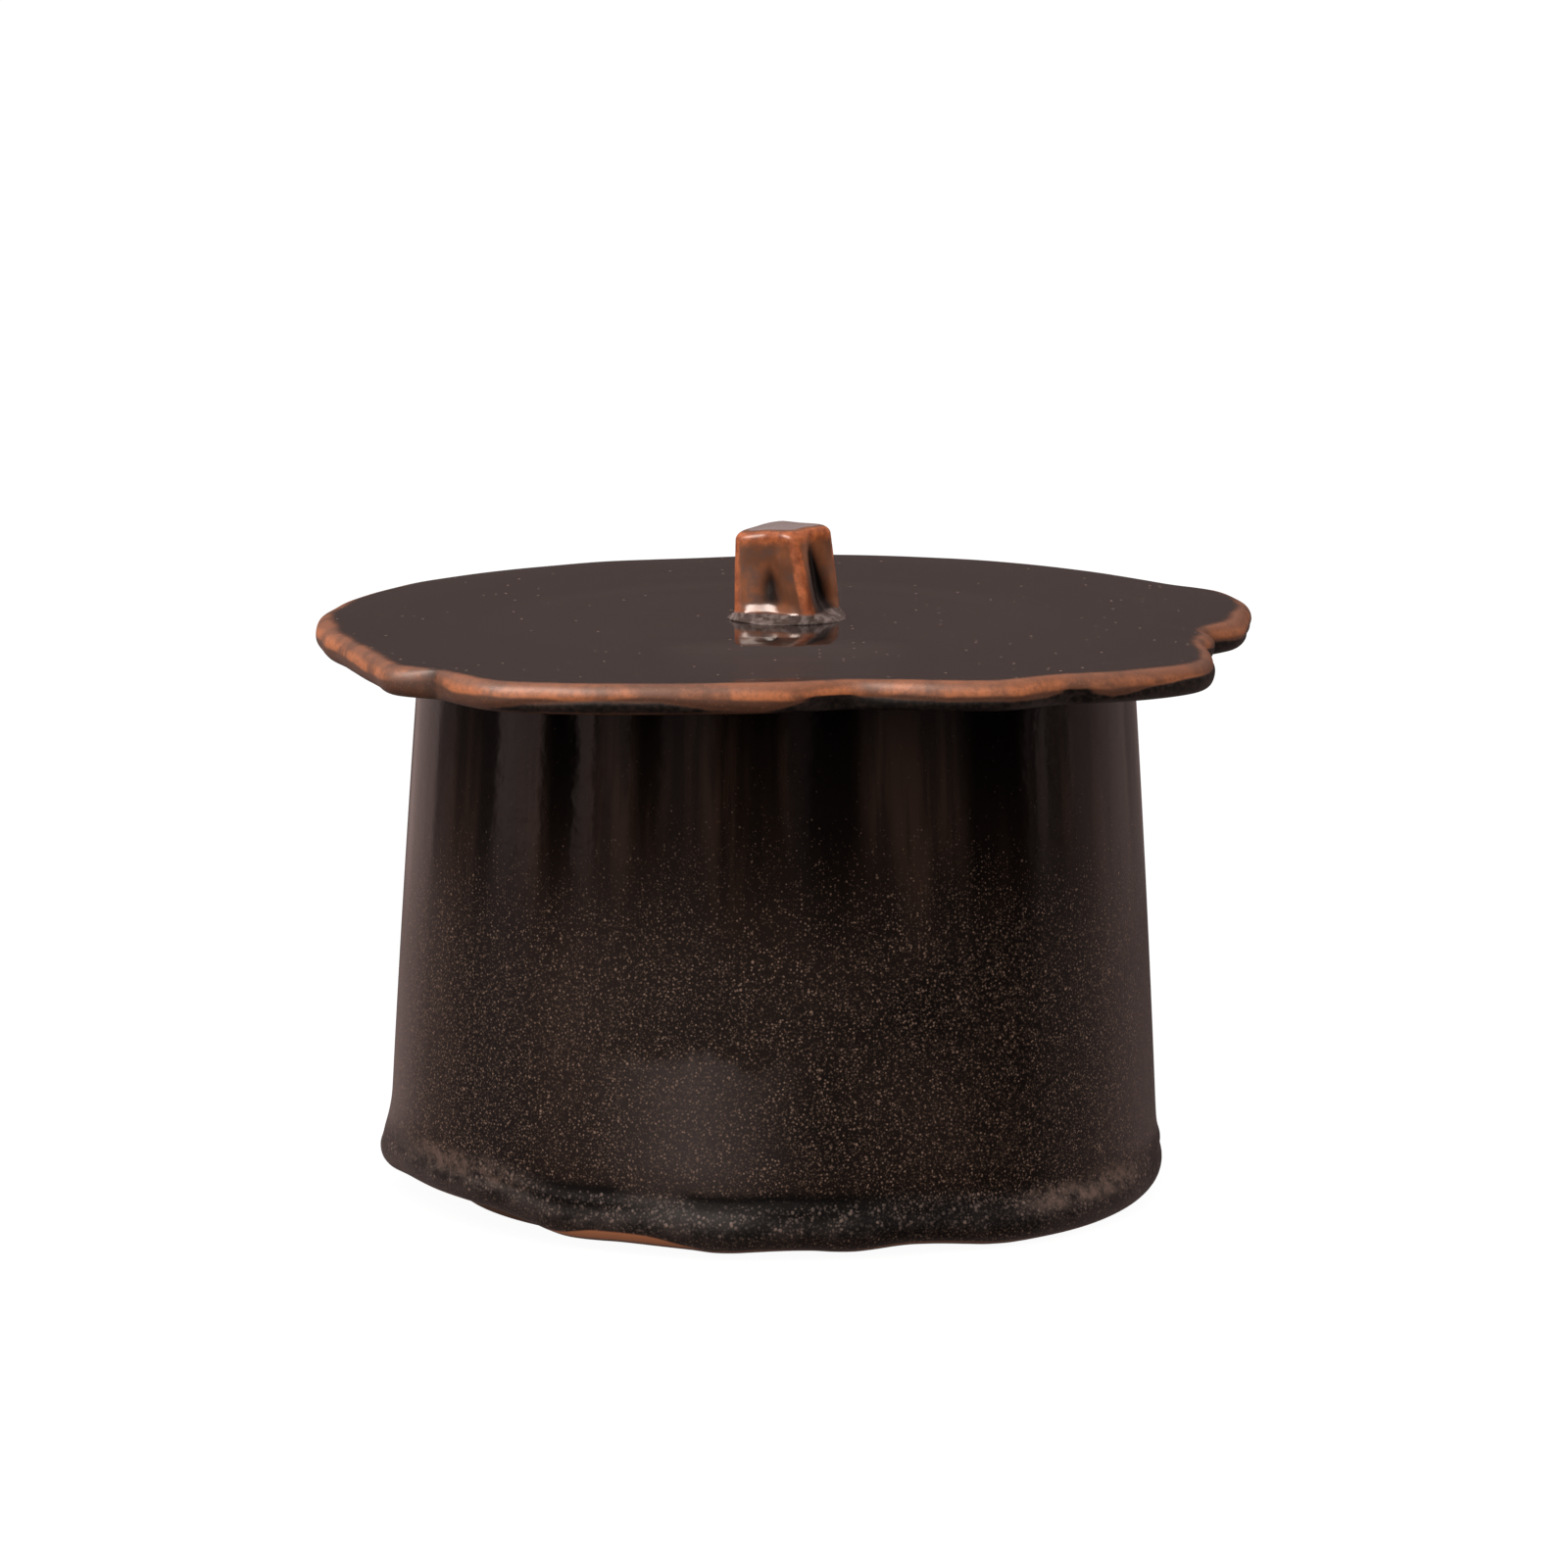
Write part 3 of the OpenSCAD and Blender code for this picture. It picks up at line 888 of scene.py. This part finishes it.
def make_knob():
    """The knob: four dented faces, a soft top, and a collar of glaze round its foot."""
    (low_centre, low_r, low_turn), (top_centre, top_r, top_turn) = read_knob()
    # The front corner, of four that are a quarter turn apart
    low_turn = low_turn % 90 - 90
    top_turn = top_turn % 90 - 90
    height = knob_top_z - lid_z
    angles = np.arange(KNOB_ROUND) * 360 / KNOB_ROUND
    # The dent in each face, from the right front face round to the left front one
    bottoms = np.array([0.03, 0.12, 0.06, 0.17])
    tops = np.array([0.80, 0.60, 0.52, 0.62])
    # The right face's dark is widest and strongest, painted shade with the light from the left.
    widths = np.array([33.0, 18.0, 18.0, 21.0])
    strength = np.array([1.0, 0.8, 0.7, 0.64])
    # How far the dark glaze in a dent is off its middle, in degrees
    drift = np.array([-8.0, 0.0, 0.0, 0.0])
    # How much less hollow each face is at the top
    fuller = np.array([0.05, 0.10, 0.16, 0.05])

    rings, ridge, pool, glass, top = [], [], [], [], []

    def add(t, size, z, on_top=0.0):
        level = (t - 0.2) / 0.7
        corner = low_r + (top_r - low_r) * level
        centre = low_centre + (top_centre - low_centre) * level
        turn = low_turn + (top_turn - low_turn) * level
        phase = (angles - turn) % 360
        side = np.abs(np.sin(np.radians(2 * phase)))
        # Corners are rounded and the faces slightly hollow, with a thumb dent in each
        soft = 0.30 + 0.25 * smoothstep(0.75, 1.0, t)
        hollow = (np.sqrt(side**2 + soft**2) - soft) / (math.sqrt(1 + soft**2) - soft)
        middle = (phase % 90) - 45
        face = (phase // 90).astype(int)
        shape = 1 - (0.345 - fuller[face] * smoothstep(0.72, 1.0, t)) * hollow
        low_end, top_end, width = bottoms[face], tops[face], widths[face]
        along = smoothstep(low_end - 0.08, low_end + 0.10, t)
        along = along * smoothstep(top_end + 0.18, top_end - 0.22, t)
        dent = np.exp(-((middle / 18.0) ** 2)) * smoothstep(low_end, low_end + 0.34, t)
        dent = dent * smoothstep(top_end + 0.12, top_end - 0.22, t)
        # Just over the glaze at the foot each face slopes out a little
        spread = 4.0 * MM - (z - lid_z)
        spread = 0.20 * (spread + math.hypot(spread, 0.4 * MM))
        lip = np.exp(-(((middle - 23) / 7.0) ** 2))
        lip = lip * smoothstep(0.15, 0.4, t) * smoothstep(0.85, 0.6, t)
        shape = shape - 0.060 * dent + 0.032 * lip
        body = corner * size * shape + spread * smoothstep(0.0, 0.5, hollow)
        # The glaze that gathered round the foot flares out to a low bead
        climb = (z - lid_z) / pool_h
        flare = np.clip(1 - climb, 0, 1) ** 1.9
        bead = 1 - 0.035 * np.clip(1 - (z - lid_z) / (0.6 * MM), 0, 1) ** 2
        reach = pool_r * bead * (1 + 0.015 * np.sin(np.radians(3 * phase + 40)))
        radius = body * (1 - flare) + reach * flare
        tilt = np.minimum(np.cos(np.radians(angles)) * radius, 0) / top_r
        rings.append(ring_points(radius, z + 1.2 * MM * t * tilt, KNOB_ROUND, centre))
        rim = smoothstep(0.74, 0.96, t) * np.clip(1 - on_top, 0, 1)
        ridge.append(np.maximum(1 - smoothstep(0.12, 0.40, side), rim) * np.clip(1 - on_top, 0, 1))
        narrow = width * (1 - 0.40 * smoothstep(low_end + 0.20, top_end, t))
        dark = np.exp(-(((middle - drift[face]) / narrow) ** 2)) * strength[face]
        pool.append(dark * along * (1 - 0.6 * flare))
        top.append(np.full(KNOB_ROUND, float(on_top * (size < 0.75))))
        glass.append(np.full(KNOB_ROUND, float(smoothstep(1.0, 0.72, climb))))

    for t in np.linspace(0, 0.9, KNOB_LEVELS) ** 1.25 / 0.9**0.25:
        add(t, 1.0, lid_z + height * t)
    round_h = 0.10 * height
    for a in np.radians(np.linspace(0, 90, 15)):
        if a > 0:
            rise = math.sin(a)
            add(
                0.9 + 0.1 * rise, 1 - 0.21 * (1 - math.cos(a)),
                lid_z + height * 0.9 + round_h * rise * 0.92, smoothstep(0.80, 1.0, rise),
            )
    for share in (0.7, 0.6, 0.5, 0.4, 0.3, 0.2, 0.1):
        dome = round_h * (0.92 + 0.08 * (1 - (share / 0.79) ** 2))
        add(1.0, share, lid_z + height * 0.9 + dome, 1.0)
    marks = {"ridge": ridge, "pool": pool, "glass": glass, "top": top}
    return loft("knob_pinched", rings, marks)


# ---------------------------------------------------------------- build

wall_tree = solid_of("jar_wall")
cavity_low = cast(wall_tree, (0, 0, floor_z + 1 * MM), (1, 0, 0))
cavity_high = cast(wall_tree, (0, 0, rim_z - 1 * MM), (1, 0, 0))
foot_inner_r = cast(solid_of("foot_ring"), (0, 0, foot_z / 2), (1, 0, 0))[0]
flange_inner_r = cast(solid_of("lid_flange"), (0, 0, (flange_low_z + rim_z) / 2), (1, 0, 0))[0]

wall_skin = jar_glaze()
lid_skin = lid_glaze()
clay_skin = clay_material()
place(make_wall(), "jar", "jar_wall", "jar_glaze", wall_skin)
place(make_floor(), "jar", "base_slab", "jar_glaze", wall_skin)
place(make_foot(), "jar", "foot_ring", "bare_clay", clay_skin)
place(make_lid(), "lid", "lid_plate", "lid_glaze", lid_skin)
place(make_flange(), "lid", "lid_flange", "bare_clay", clay_skin)
place(make_knob(), "lid", "knob", "lid_glaze", knob_glaze())


# ---------------------------------------------------------------- camera and light


def add_camera():
    """A long lens, level with the lid's middle and looking down 9 degrees."""
    data = bpy.data.cameras.new("camera")
    data.lens = 213.75
    data.sensor_width = 36
    data.clip_start = 0.1
    look_down = 8.976
    camera = bpy.data.objects.new("camera", data)
    camera.location = (0.00215, -2.01749, 0.40774)
    camera.rotation_euler = (math.radians(90 - look_down), 0, 0)
    bpy.context.scene.collection.objects.link(camera)
    bpy.context.scene.camera = camera


def add_key_panel():
    """A small warm panel at the upper left, which only glints in the gloss."""
    data = bpy.data.lights.new("key_panel", "AREA")
    data.shape = "RECTANGLE"
    data.size, data.size_y = 0.27, 0.10
    data.energy = 2.2
    data.color = (1.0, 0.83, 0.74)
    light = bpy.data.objects.new("key_panel", data)
    light.location = (-0.175, -0.190, 0.342)
    light.visible_camera = False
    light.visible_diffuse = False
    knob_foot = Vector((0.0, -0.008, 0.128))
    light.rotation_euler = (knob_foot - light.location).to_track_quat("-Z", "Y").to_euler()
    bpy.context.scene.collection.objects.link(light)


def add_floor():
    """A white table top, which only the camera sees, so that it stays evenly white."""
    mesh = bpy.data.meshes.new("floor")
    half = 6.0
    mesh.from_pydata(
        [(-half, -half, 0), (half, -half, 0), (half, half, 0), (-half, half, 0)], [], [(0, 1, 2, 3)]
    )
    floor = bpy.data.objects.new("floor", mesh)
    bpy.context.scene.collection.objects.link(floor)
    material, n = new_material("floor_pale")
    glow = n.add("Emission", {"Color": (0.95, 0.95, 0.95), "Strength": 1.0})
    matte = n.add("BsdfDiffuse", {"Color": (0.10, 0.10, 0.10)})
    n.add("OutputMaterial", {"Surface": n.add("AddShader", {0: glow, 1: matte})})
    mesh.materials.append(material)
    floor.visible_glossy = False
    floor.visible_diffuse = False


# Areas round the studio, as the gloss of the jar sees them: azimuth in degrees from
# straight behind (+ to the right), half width and brightness. One with a brightness
# below 0 is a dark screen.
STUDIO = [
    (-30, 17, 0.27), (-70, 11, -0.075), (-92, 9, 0.40), (-117, 3, 0.40), (-128, 6, 0.17),
    (-153, 9, 0.11), (173, 4, 0.08), (135, 17, 0.07), (92, 0.8, 0.12), (86, 2, 0.18),
    (78, 5, -0.06), (65, 8, 0.05), (45, 12, 0.10),
]
WARM = (1.0, 0.72, 0.67)


def set_world():
    """White to the camera, light from above on the clay, and a dim studio in the gloss."""
    world = bpy.data.worlds.new("studio")
    bpy.context.scene.world = world
    world.use_nodes = True
    world.cycles.sampling_method = "NONE"
    n = Nodes(world.node_tree)
    x, y, z = n.axes(n.add("TexCoord", out=0))
    azimuth = n.math("ARCTAN2", x, y)
    # The wall behind, brighter with height, and a broad soft panel over it
    behind = n.ramp(y, -0.1, 0.15, 0.0, 0.123)
    # Gloss weakens as the lid turns to face the eye, and this makes up for it
    lift = n.math("MINIMUM", n.math("MAXIMUM", n.minus(z, 0.156), 0.0), 0.5)
    rising = n.plus(n.times(lift, n.plus(n.times(lift, 7.4), 2.22)), 1.0)
    level = n.times(behind, rising)
    panels = 0.0
    for degrees, half, brightness in STUDIO:
        centre, half = math.radians(degrees), math.radians(half)
        panels = n.plus(panels, n.band(azimuth, centre, half * 0.8, half * 1.2, brightness))
    # The panels stand on a table's far edge, which the wall mirrors at mid height
    half_way = n.math("SINE", n.math("MULTIPLY", n.size(azimuth), 0.5))
    edge = n.minus(n.times(half_way, 0.118), 0.168)
    over_edge = n.ramp(n.minus(z, edge), -0.014, 0.014, 0.25, 1.0)
    aside = n.ramp(n.size(azimuth), 0.9, 1.2)
    panels = n.times(panels, n.plus(n.times(aside, n.minus(over_edge, 1.0)), 1.0))
    level = n.plus(level, n.times(panels, n.ramp(n.size(z), 0.25, 0.6, 1.0, 0.0)))
    below = n.times(n.ramp(z, -0.35, -0.02, 0.15, 0.0), n.ramp(y, -0.1, 0.15))
    level = n.plus(level, below)
    gloss = n.add("Background", {"Color": WARM, "Strength": level})
    # Light for everything that isn't gloss: mostly from above and a little from the left
    over = n.ramp(z, -0.25, 0.45, 0.10, 1.0)
    sky = n.times(over, n.minus(1.0, n.times(x, 0.35)))
    soft = n.add("Background", {"Color": (1.0, 0.93, 0.90), "Strength": n.times(sky, 1.25)})
    white = n.add("Background", {"Color": (1.0, 1.0, 1.0), "Strength": 1.0})
    ray = n.tree.nodes.new("ShaderNodeLightPath")
    shown = n.add("MixShader", {0: ray.outputs["Is Glossy Ray"], 1: soft, 2: gloss})
    shown = n.add("MixShader", {0: ray.outputs["Is Camera Ray"], 1: shown, 2: white})
    n.add("OutputWorld", {"Surface": shown})


add_camera()
add_floor()
set_world()
add_key_panel()
scene = bpy.context.scene
scene.view_settings.view_transform = "Standard"
scene.view_settings.look = "None"
